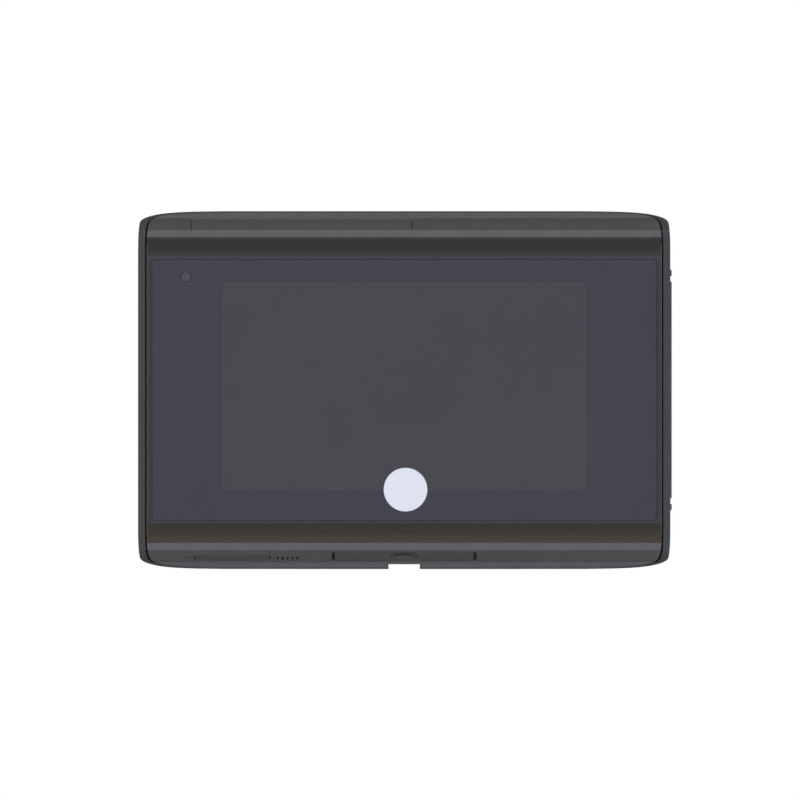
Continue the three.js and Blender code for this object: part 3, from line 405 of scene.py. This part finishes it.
def circuitBoard():
    # Green solder mask over copper: tracks run on a brick grid, pads shine through as small rounds
    look = boardLook
    material, tree, shader, place = newMaterial("circuitBoard", look["mask"])
    split = tree.nodes.new("ShaderNodeSeparateXYZ")
    tree.links.new(place, split.inputs[0])
    flat = tree.nodes.new("ShaderNodeCombineXYZ")
    tree.links.new(split.outputs["X"], flat.inputs["X"])
    tree.links.new(split.outputs["Z"], flat.inputs["Y"])
    tracks = tree.nodes.new("ShaderNodeTexBrick")
    tracks.inputs["Scale"].default_value = look["tracksPerMetre"]
    tracks.inputs["Mortar Size"].default_value = look["trackWidth"]
    tracks.inputs["Color1"].default_value = linear(look["mask"])
    tracks.inputs["Color2"].default_value = linear(look["maskDark"])
    tracks.inputs["Mortar"].default_value = linear(look["track"])
    tree.links.new(flat.outputs[0], tracks.inputs["Vector"])
    dots = tree.nodes.new("ShaderNodeTexVoronoi")
    dots.inputs["Scale"].default_value = look["padsPerMetre"]
    dots.inputs["Randomness"].default_value = 0.45
    tree.links.new(flat.outputs[0], dots.inputs["Vector"])
    pad = mathNode(tree, "LESS_THAN", dots.outputs["Distance"], look["padSize"])
    tone = mixColour(tree, pad, tracks.outputs["Color"], linear(look["pad"]))
    tree.links.new(tone, shader.inputs["Base Color"])
    varyRoughness(tree, shader, place, 6.0, 0.3, 0.5)
    addBump(tree, shader, tracks.outputs["Fac"], 0.03, 0.6)
    return material


smokeColour = (58, 58, 70)


def smokedWindow():
    # Tinted window over the status lamp
    material, tree, shader, place = newMaterial("smokedWindow", smokeColour, specular=lensLook["specular"])
    speckle(tree, shader, place, smokeColour, 0.05, 0.8)
    varyRoughness(tree, shader, place, 1.5, 0.10, 0.18)
    return material


foilLook = {"colour": (150, 155, 161), "metallic": 0.7, "crease": 3.5, "creaseDepth": 0.12}


def foilWrap():
    # Heat-sealed foil: broad creases, and a satin skin
    look = foilLook
    material, tree, shader, place = newMaterial("foilWrap", look["colour"], look["metallic"])
    speckle(tree, shader, place, look["colour"], 0.07, 6.0)
    creases = noise(tree, stretched(tree, place, (1, 1, 0.3)), look["crease"], 4)
    varyRoughness(tree, shader, place, 4.0, 0.28, 0.45)
    addBump(tree, shader, creases, look["creaseDepth"], 0.6)
    return material


flexLook = {"colour": (168, 112, 38), "dark": (150, 92, 30), "light": (196, 134, 58), "stripe": 0.6}


def flexFilm():
    # Amber film with copper tracks showing as stripes along it
    look = flexLook
    material, tree, shader, place = newMaterial("flexFilm", look["colour"])
    stripes = noise(tree, stretched(tree, place, (1, 1, 0.02)), look["stripe"], 1)
    share = remap(tree, stripes, 0, 1, 0.45, 0.55)
    tone = mixColour(tree, share, linear(look["dark"]), linear(look["light"]))
    tree.links.new(tone, shader.inputs["Base Color"])
    varyRoughness(tree, shader, place, 2.0, 0.28, 0.42)
    return material


# A basis gives the directions of u, v and w and the point they start from
frontFrame = {"origin": (0, 0, 0), "u": (1, 0, 0), "v": (0, 0, 1), "w": (0, -1, 0)}


def toWorld(basis, u, v, w):
    # Point = origin + u*across + v*up + w*out, all in millimetres until the last step
    point = np.asarray(basis["origin"], float)
    for amount, direction in ((u, "u"), (v, "v"), (w, "w")):
        point = point + np.multiply.outer(np.asarray(amount, float), np.asarray(basis[direction], float))
    return point * mm


def roundedOutline(width, height, radius, inset=0.0, centre=(0.0, 0.0), perCorner=9):
    # Four quarter circles joined by straight sides, drawn in by the inset
    turn = np.linspace(0, np.pi / 2, perCorner)
    angle = np.concatenate([turn + k * np.pi / 2 for k in range(4)])
    sx = np.repeat([1, -1, -1, 1], perCorner)
    sy = np.repeat([1, 1, -1, -1], perCorner)
    r = max(radius - inset, 0.02)
    x = centre[0] + sx * (width / 2 - inset - r) + r * np.cos(angle)
    y = centre[1] + sy * (height / 2 - inset - r) + r * np.sin(angle)
    return np.stack([x, y], 1)


def roundedSlab(basis, width, height, corner, centre, low, high, edge, steps=5):
    # A rounded outline stacked from low to high, drawn in along a quarter circle at both edges
    a = np.linspace(0, np.pi / 2, steps)
    inset = np.concatenate([edge * (1 - np.sin(a)), edge * (1 - np.cos(a))])
    level = np.concatenate([low + edge * (1 - np.cos(a)), high - edge * (1 - np.sin(a))])
    rings = []
    for i, h in zip(inset, level):
        p = roundedOutline(width, height, corner, i, centre)
        rings.append(toWorld(basis, p[:, 0], p[:, 1], np.full(len(p), h)))
    return np.stack(rings)


def turnedRings(basis, profile, centre=(0.0, 0.0), sides=64):
    # Each (radius, height) pair of the profile swept round the axis
    r, h = np.asarray(profile, float).T
    angle = np.linspace(0, 2 * np.pi, sides, endpoint=False)
    u = centre[0] + np.outer(r, np.cos(angle))
    v = centre[1] + np.outer(r, np.sin(angle))
    w = np.outer(h, np.ones(sides))
    return toWorld(basis, u, v, w)


def tubeRings(path, radius, reference=(0, 0, 1), sides=14):
    # A circle carried along a path, square to its direction
    path = np.asarray(path, float)
    ahead = np.gradient(path, axis=0)
    ahead /= np.linalg.norm(ahead, axis=1)[:, None]
    side = np.cross(ahead, reference)
    side /= np.linalg.norm(side, axis=1)[:, None]
    up = np.cross(side, ahead)
    angle = np.linspace(0, 2 * np.pi, sides, endpoint=False)
    ring = side[:, None] * np.cos(angle)[None, :, None] + up[:, None] * np.sin(angle)[None, :, None]
    return (path[:, None] + radius * ring) * mm


def smoothPath(points, count=60):
    # Catmull-Rom curve through the points, evenly spread in its parameter
    p = np.asarray(points, float)
    p = np.vstack([2 * p[0] - p[1], p, 2 * p[-1] - p[-2]])
    t = np.linspace(0, len(points) - 1 - 1e-9, count)
    i = t.astype(int)
    f = (t - i)[:, None]
    a, b, c, d = p[i], p[i + 1], p[i + 2], p[i + 3]
    square = (2 * a - 5 * b + 4 * c - d) * f ** 2
    cube = (3 * b - a - 3 * c + d) * f ** 3
    return 0.5 * (2 * b + (c - a) * f + square + cube)


def surfaceMesh(name, shells):
    # Joins (rings, closed) grids: quads between rings, and a flat cap at each open end
    vertices, faces, start = [], [], 0
    for rings, closed in shells:
        m, n = rings.shape[:2]
        index = start + np.arange(m * n).reshape(m, n)
        nextRing = np.roll(index, -1, 0) if closed else index[1:]
        here = index if closed else index[:-1]
        quads = np.stack([here, np.roll(here, -1, 1), np.roll(nextRing, -1, 1), nextRing], -1)
        quads = quads.reshape(-1, 4)
        shellFaces = quads.tolist()
        if not closed:
            shellFaces += [index[0, ::-1].tolist(), index[-1].tolist()]
        flat = rings.reshape(-1, 3)
        corners = flat[quads - start]
        normal = np.cross(corners[:, 2] - corners[:, 0], corners[:, 3] - corners[:, 1])
        if (normal * (corners.mean(1) - flat.mean(0))).sum() < 0:
            shellFaces = [face[::-1] for face in shellFaces]
        vertices.append(flat)
        faces += shellFaces
        start += m * n
    mesh = bpy.data.meshes.new(name)
    mesh.from_pydata(np.concatenate(vertices).tolist(), [], faces)
    mesh.update()
    return mesh


def addPiece(name, mesh, material, body, replaced, smoothAngle=38):
    piece = bpy.data.objects.new(name, mesh)
    scene.collection.objects.link(piece)
    mesh.materials.clear()
    mesh.materials.append(material)
    mesh.shade_smooth()
    mesh.set_sharp_from_angle(angle=np.radians(smoothAngle))
    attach(piece, body)
    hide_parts(*replaced)
    return piece


# Copies of the frame's mouldings: distances are millimetres and angles are degrees
rounding = {"merge": 0.002, "flatAngle": 0.6, "segments": 2, "cornerAngle": 28}
holeRounding = {"least": 34, "most": 63, "percent": 38, "segments": 4}


def roundHoles(shape):
    # Widens the coarse corners of holes cut along Y into short arcs
    coarse = []
    for edge in shape.edges:
        along = (edge.verts[0].co - edge.verts[1].co).normalized()
        turn = np.degrees(edge.calc_face_angle(0))
        if abs(along.y) > 0.99 and holeRounding["least"] < turn < holeRounding["most"]:
            coarse.append(edge)
    bmesh.ops.bevel(
        shape, geom=coarse, offset=holeRounding["percent"], offset_type="PERCENT",
        segments=holeRounding["segments"], profile=0.5, affect="EDGES")


def roundedCopy(node, material, body, width, holes=False):
    # A merged copy of the frame's solid with its flats joined and its edges rounded
    shape = bmesh.new()
    shape.from_mesh(frame["nodes"][node].data)
    bmesh.ops.remove_doubles(shape, verts=shape.verts, dist=rounding["merge"] * mm)
    flatAngle = np.radians(rounding["flatAngle"])
    bmesh.ops.dissolve_limit(shape, angle_limit=flatAngle, verts=shape.verts, edges=shape.edges)
    if holes:
        roundHoles(shape)
    mesh = bpy.data.meshes.new(node + "_shell")
    shape.to_mesh(mesh)
    shape.free()
    piece = addPiece(node + "_shell", mesh, material, body, [node])
    bevel = piece.modifiers.new("edges", "BEVEL")
    bevel.width = width * mm
    bevel.segments = rounding["segments"]
    bevel.limit_method = "ANGLE"
    bevel.angle_limit = np.radians(rounding["cornerAngle"])
    bevel.harden_normals = True


def boxOf(node):
    # Corners of a node's box in millimetres
    low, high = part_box(node)
    return np.array(low) / mm, np.array(high) / mm


def centreOf(node):
    low, high = boxOf(node)
    return (low + high) / 2


# Fascia: a frame from the housing's front edge in to the lens, with a ledge under the lens
fascia = {
    "base": 18.52, "ledge": 19.42, "lensGap": 0.1, "sideRise": 19.9, "sideRun": 1.2, "ledgeRun": 4.0,
    "railFoot": (0.0, 18.5), "railRise": (0.9, 19.8), "railTurn": 2.4, "rows": 26, "perSide": 48,
}


def bezier(points, t):
    # Cubic curve from its four control points
    a, b, c, d = (np.asarray(p, float) for p in points)
    s = 1 - t[:, None]
    t = t[:, None]
    return a * s ** 3 + 3 * b * s ** 2 * t + 3 * c * s * t ** 2 + d * t ** 3


def fasciaHeight(x, z, outer, bed, top):
    # Lower of two crowns: a long one over each rail, and a short round at each side
    f = fascia
    foot, rise = f["railFoot"], f["railRise"]
    controls = [
        (outer[1] - foot[0], foot[1]), (outer[1] - rise[0], rise[1]),
        (outer[1] - f["railTurn"], top), (bed[1], top),
    ]
    rail = bezier(controls, np.linspace(0, 1, 60))
    overRail = np.interp(np.abs(z), rail[::-1, 0], rail[::-1, 1])
    part = np.clip((np.abs(x) - outer[0] + f["sideRun"]) / f["sideRun"], 0, 1)
    overSide = top - (top - f["sideRise"]) * (1 - np.sqrt(1 - part ** 2 * 0.98))
    return np.minimum(overRail, overSide)


def rectangleLoop(halfX, halfZ):
    # Points round a rectangle, with the same share of each side on every loop
    share = np.linspace(-1, 1, fascia["perSide"], endpoint=False)
    ones = np.ones(share.size)
    x = np.concatenate([share * halfX, ones * halfX, -share * halfX, -ones * halfX])
    z = np.concatenate([-ones * halfZ, share * halfZ, ones * halfZ, -share * halfZ])
    return x, z


def makeFascia(material):
    # Rings from the base up over the crown, down to the ledge, in along it and back to the base
    f = fascia
    frameHigh = boxOf("front_fascia")[1]
    lensLow, lensHigh = boxOf("touch_lens")
    outer = (frameHigh[0], frameHigh[2])
    bed = (lensHigh[0] + f["lensGap"], lensHigh[2] + f["lensGap"])
    lip = (bed[0] - f["ledgeRun"], bed[1] - f["ledgeRun"])
    outerX, outerZ = rectangleLoop(*outer)
    innerX, innerZ = rectangleLoop(*bed)
    lipX, lipZ = rectangleLoop(*lip)
    level = np.ones(outerX.size)
    rings = [(outerX, outerZ, level * f["base"])]
    for share in np.linspace(0, 1, f["rows"]) ** 1.25:
        x = outerX + (innerX - outerX) * share
        z = outerZ + (innerZ - outerZ) * share
        height = fasciaHeight(x, z, outer, bed, -lensLow[1])
        rings.append((x, z, np.maximum(height, f["base"] + 0.01)))
    rings.append((innerX, innerZ, level * f["ledge"]))
    rings.append((lipX, lipZ, level * f["ledge"]))
    rings.append((lipX, lipZ, level * f["base"]))
    grid = np.stack([toWorld(frontFrame, *ring) for ring in rings])
    mesh = surfaceMesh("fascia_frame", [(grid, True)])
    addPiece("fascia_frame", mesh, material, "panel", ["front_fascia"], 40)


badge = {"radius": 5.75, "edge": 0.12, "dish": 0.04, "rim": 0.5}


def makeBadge():
    # Thin disc with a rounded rim, and a face dished as a parabola
    low, high = boxOf("badge_disc")
    x, _, z = centreOf("badge_disc")
    back, front = -high[1], -low[1]
    r, e = badge["radius"], badge["edge"]
    rim = [(r - e + e * np.cos(a), front - e + e * np.sin(a)) for a in np.linspace(0, np.pi / 2, 6)]
    dish = np.linspace(1, 0.02, 18)
    face = [(s * (r - badge["rim"]), front - badge["dish"] * (1 - s ** 2)) for s in dish]
    profile = [(r - 0.05, back), (r, back + 0.05)] + rim + face
    mesh = surfaceMesh("badge_face", [(turnedRings(frontFrame, profile, (x, z), 96), False)])
    addPiece("badge_face", mesh, spunDisc(x * mm, z * mm), "panel", ["badge_disc"], 50)


statusWindow = {"radius": 1.25, "flange": 0.9, "flangeDepths": (17.0, 18.2), "chamfer": 0.05, "face": 0.02}


def makeStatusWindow(material):
    # Tip of the light pipe on its stem, with the flange behind the fascia
    w = statusWindow
    low, high = boxOf("light_pipe")
    x, _, z = centreOf("light_pipe")
    back, front = -high[1], -low[1]
    r = w["radius"]
    flangeBack, flangeFront = w["flangeDepths"]
    wide = r + w["flange"]
    profile = [(r, back), (r, flangeBack), (wide, flangeBack), (wide, flangeFront), (r, flangeFront)]
    profile += [(r, front - w["chamfer"])]
    profile += [(r * s, front - w["face"]) for s in np.linspace(0.95, 0.03, 8)]
    mesh = surfaceMesh("status_window", [(turnedRings(frontFrame, profile, (x, z), 48), False)])
    addPiece("status_window", mesh, material, "panel", ["light_pipe"], 40)


# Jack: heights run outwards along w of the lower wall's frame
jack = {
    "ring": 3.45, "body": 3.9, "bore": 2.75, "length": 6.8, "flange": -1.4, "face": -0.15,
    "floor": 1.2, "axle": 0.4, "lip": 0.25, "mouth": 0.3, "chamfer": 0.2,
}
jackPin = {"radius": 1.0, "tip": -1.6, "dome": 0.25, "foot": 1.1}


def lowerWall():
    # Frame of the lower sloping wall: w out of it along the plug's way out, v up its slope to the front
    pull = next(j for j in frame["joints"] if j["name"] == "card_plug_pull")
    w = np.asarray(pull["axis"], float)
    u = np.array((1.0, 0, 0))
    v = np.cross(w, u)
    # Out from the jack's middle to a point just proud of the connector plate's face
    origin = centreOf("dc_jack") + w * (jack["length"] - jack["face"]) / 2 - w * jack["face"]
    origin[0] = 0
    return {"origin": origin, "u": u, "v": v, "w": w}


def makeJack(basis, material, pinMaterial):
    # Ring, flange and barrel turned in one, with the bore open and the pin standing in it
    j = jack
    turn = np.linspace(0, np.pi / 2, 6)
    lip, mouth, c = j["lip"], j["mouth"], j["chamfer"]
    foot = -j["length"]
    floor = foot + j["floor"]
    profile = [
        (j["axle"], foot), (j["body"] - c, foot), (j["body"], foot + c),
        (j["body"], j["flange"] - c / 2), (j["body"] - c / 2, j["flange"]), (j["ring"], j["flange"]),
    ]
    profile += [(j["ring"] - lip + lip * np.cos(a), j["face"] - lip + lip * np.sin(a)) for a in turn]
    profile += [(j["bore"] + mouth * (1 - np.sin(a)), j["face"] - mouth * (1 - np.cos(a))) for a in turn]
    profile += [(j["bore"], floor), (j["axle"], floor)]
    barrel = surfaceMesh("power_jack", [(turnedRings(basis, profile, sides=72), False)])
    addPiece("power_jack", barrel, material, "panel", ["dc_jack"])
    r, tip = jackPin["radius"], jackPin["tip"]
    pin = [(r, foot + jackPin["foot"]), (r, tip - 0.3), (r * 0.9, tip - 0.1)]
    pin += [(r * 0.8 * np.cos(a), tip + jackPin["dome"] * np.sin(a)) for a in turn[:-1]]
    mesh = surfaceMesh("jack_pin", [(turnedRings(basis, pin, sides=40), False)])
    addPiece("jack_pin", mesh, pinMaterial, "panel", ["dc_jack"])


# Card plug, as (width, height, corner) of each of its three slabs and (low, high, edge) out of the wall
plug = {
    "v": -2.0,
    "head": ((19.8, 6.1, 1.4), (-1.2, -0.12, 0.28)),
    "stem": ((17.2, 3.3, 0.8), (-3.4, -1.0, 0.2)),
    "seat": ((15.6, 3.5, 1.2), (-0.5, 0.0, 0.11)),
}


def makePlug(basis, material):
    # Soft head with a raised seat, on a thinner stem that fills the card slot
    centre = (centreOf("card_plug")[0], plug["v"])
    shells = []
    for part in ("head", "stem", "seat"):
        size, (low, high, edge) = plug[part]
        shells.append((roundedSlab(basis, *size, centre, low, high, edge), False))
    addPiece("slot_plug", surfaceMesh("slot_plug", shells), material, "plug", ["card_plug"])


hingePin = {"radius": 0.7, "chamfer": 0.2}


def makePin(material):
    # Hinge pin with a chamfer at both ends
    low, high = boxOf("side_door_pin")
    x, y, _ = centreOf("side_door_pin")
    basis = {"origin": (x, y, 0), "u": (1, 0, 0), "v": (0, 1, 0), "w": (0, 0, 1)}
    r, c = hingePin["radius"], hingePin["chamfer"]
    profile = [(r - c, low[2]), (r, low[2] + c), (r, high[2] - c), (r - c, high[2])]
    mesh = surfaceMesh("hinge_pin", [(turnedRings(basis, profile, sides=32), False)])
    addPiece("hinge_pin", mesh, material, "panel", ["side_door_pin"])


pouch = {"corner": 1.5, "edge": 1.3, "seamRise": 0.7, "seamHeight": 1.2, "seamCorner": 0.3, "seamEdge": 0.2}


def makeBattery(material):
    # Pouch cell: flat faces, rounded long edges and a folded seam along the lower end
    low, high = boxOf("battery_pack")
    width, height = high[0] - low[0], high[2] - low[2]
    x, _, z = centreOf("battery_pack")
    back, front = -high[1], -low[1]
    e = pouch["seamEdge"]
    cell = roundedSlab(
        frontFrame, width, height, pouch["corner"], (x, z), back, front, pouch["edge"], 8)
    seam = roundedSlab(
        frontFrame, width - 1, pouch["seamHeight"], pouch["seamCorner"], (x, low[2] + pouch["seamRise"]),
        back + e, front - e, e)
    mesh = surfaceMesh("battery_pouch", [(cell, False), (seam, False)])
    addPiece("battery_pouch", mesh, material, "panel", ["battery_pack"])


feeler = {"stem": 1.5, "tip": 0.3, "dome": 0.35, "head": 2.3, "headDeep": 0.95, "headShort": 0.15}


def makeTamper(material):
    # Sprung plunger: domed tip, stem, and a head that the coil pushes on
    f = feeler
    low, high = boxOf("tamper_plunger")
    x, _, z = centreOf("tamper_plunger")
    tip, top = -high[1], -low[1]
    turn = np.linspace(0, np.pi / 2, 6)
    bulge = f["stem"] - f["tip"]
    profile = [(f["tip"] + bulge * np.sin(a), tip + f["dome"] * (1 - np.cos(a))) for a in turn]
    under = top - f["headDeep"]
    shoulder = f["head"] - f["headShort"]
    profile += [(f["stem"], under - 0.3), (shoulder, under - 0.15), (f["head"], under)]
    profile += [(f["head"], top - f["headShort"]), (shoulder, top), (0.4, top)]
    mesh = surfaceMesh("wall_feeler", [(turnedRings(frontFrame, profile, (x, z), 40), False)])
    addPiece("wall_feeler", mesh, material, "tamper", ["tamper_plunger"])


resetPeg = {"radius": 1.1, "chamfer": 0.2, "dome": 0.4, "tip": 0.02}


def makeResetButton(material):
    # Turned peg with a domed cap, lying along X
    p = resetPeg
    low, high = boxOf("reset_button")
    _, y, z = centreOf("reset_button")
    left, right = low[0], high[0]
    basis = {"origin": (0, y, z), "u": (0, 1, 0), "v": (0, 0, 1), "w": (1, 0, 0)}
    reach = p["radius"] - p["tip"]
    turn = np.linspace(0, np.pi / 2, 7)
    cap = [(p["tip"] + reach * np.cos(a), right + p["dome"] * (np.sin(a) - 1)) for a in turn]
    profile = [(p["radius"] - p["chamfer"], left), (p["radius"], left + p["chamfer"])] + cap
    mesh = surfaceMesh("reset_peg", [(turnedRings(basis, profile, sides=36), False)])
    addPiece("reset_peg", mesh, material, "reset", ["reset_button"])


# Each lead: the node it replaces, its radius, and the points of its route as (x, depth, z)
leads = {
    "jack_wire": (
        "jack_lead", 0.7,
        [(0, 8.6, -36.0), (0, 7.6, -33.5), (3, 7.4, -31), (7, 8.8, -30), (8, 10.2, -30)]),
    "speaker_wire": (
        "speaker_lead", 0.6,
        [(-17, 8, -27), (-16, 7.6, -25.5), (-12, 7.4, -24.5), (-8, 8.6, -24), (-7, 10.2, -24)]),
}


def makeLeads(material):
    for name, (node, radius, points) in leads.items():
        route = smoothPath([(x, -depth, z) for x, depth, z in points])
        mesh = surfaceMesh(name, [(tubeRings(route, radius), False)])
        addPiece(name, mesh, material, "panel", [node])


makeCamera()
makeWorld()
makeSoftboxes()
makeFloor()
say("studio ready")

casing = casingPlastic("casingPlastic", casingLook["colour"])
rearCasing = casingPlastic("rearCasingPlastic", casingLook["rearColour"])
plateCasing = casingPlastic("plateCasingPlastic", casingLook["plateColour"])
gloss = fasciaGloss()
glass = touchGlass()
rubber = moulding("softRubber")
steel = brushedSteel()
black = moulding("blackPlastic")
board = circuitBoard()
nylon = paleNylon()
smoke = smokedWindow()
foil = foilWrap()
flex = flexFilm()
say("finishes ready")

roundedCopy("wall_plate", rearCasing, "bracket", 0.2, holes=True)
roundedCopy("rear_housing", rearCasing, "panel", 0.15)
roundedCopy("front_housing", casing, "panel", 0.15)
roundedCopy("touch_lens", glass, "panel", 0.16)
roundedCopy("side_door", rearCasing, "side_lid", 0.15)
roundedCopy("battery_door", casing, "battery_lid", 0.15)
roundedCopy("connector_plate", plateCasing, "panel", 0.15)
say("shells ready")

makeFascia(gloss)
makeBadge()
makeStatusWindow(smoke)
wallBelow = lowerWall()
makeJack(wallBelow, plateCasing, steel)
makePlug(wallBelow, rubber)
makePin(steel)
makeBattery(foil)
makeTamper(nylon)
makeResetButton(nylon)
makeLeads(black)
say("small parts ready")

# Parts that keep the frame's own mesh, with the finish of each
carried = {
    "lens_tape": black, "lcd_gasket": rubber, "lcd_glass": glass, "backlight_frame": steel,
    "display_flex": flex, "flex_connector": black, "main_board": board, "processor_shield": steel,
    "radio_module": steel, "radio_antenna": board, "buzzer": black, "backup_cell_holder": black,
    "backup_cell": steel, "status_led": nylon, "loudspeaker": black, "battery_connector": nylon,
    "card_socket": steel, "service_port": steel, "terminal_block": board, "reset_switch": black,
    "tamper_switch": black, "tamper_spring": steel, "speaker_gasket": rubber, "mic_boot": rubber,
    "microphone": steel,
}
for i in range(4):
    carried[f"board_screw_{i + 1}"] = steel
    carried[f"housing_screw_{i + 1}"] = steel
for name, material in carried.items():
    frame["nodes"][name].material_slots[0].material = material
say("inner parts finished")
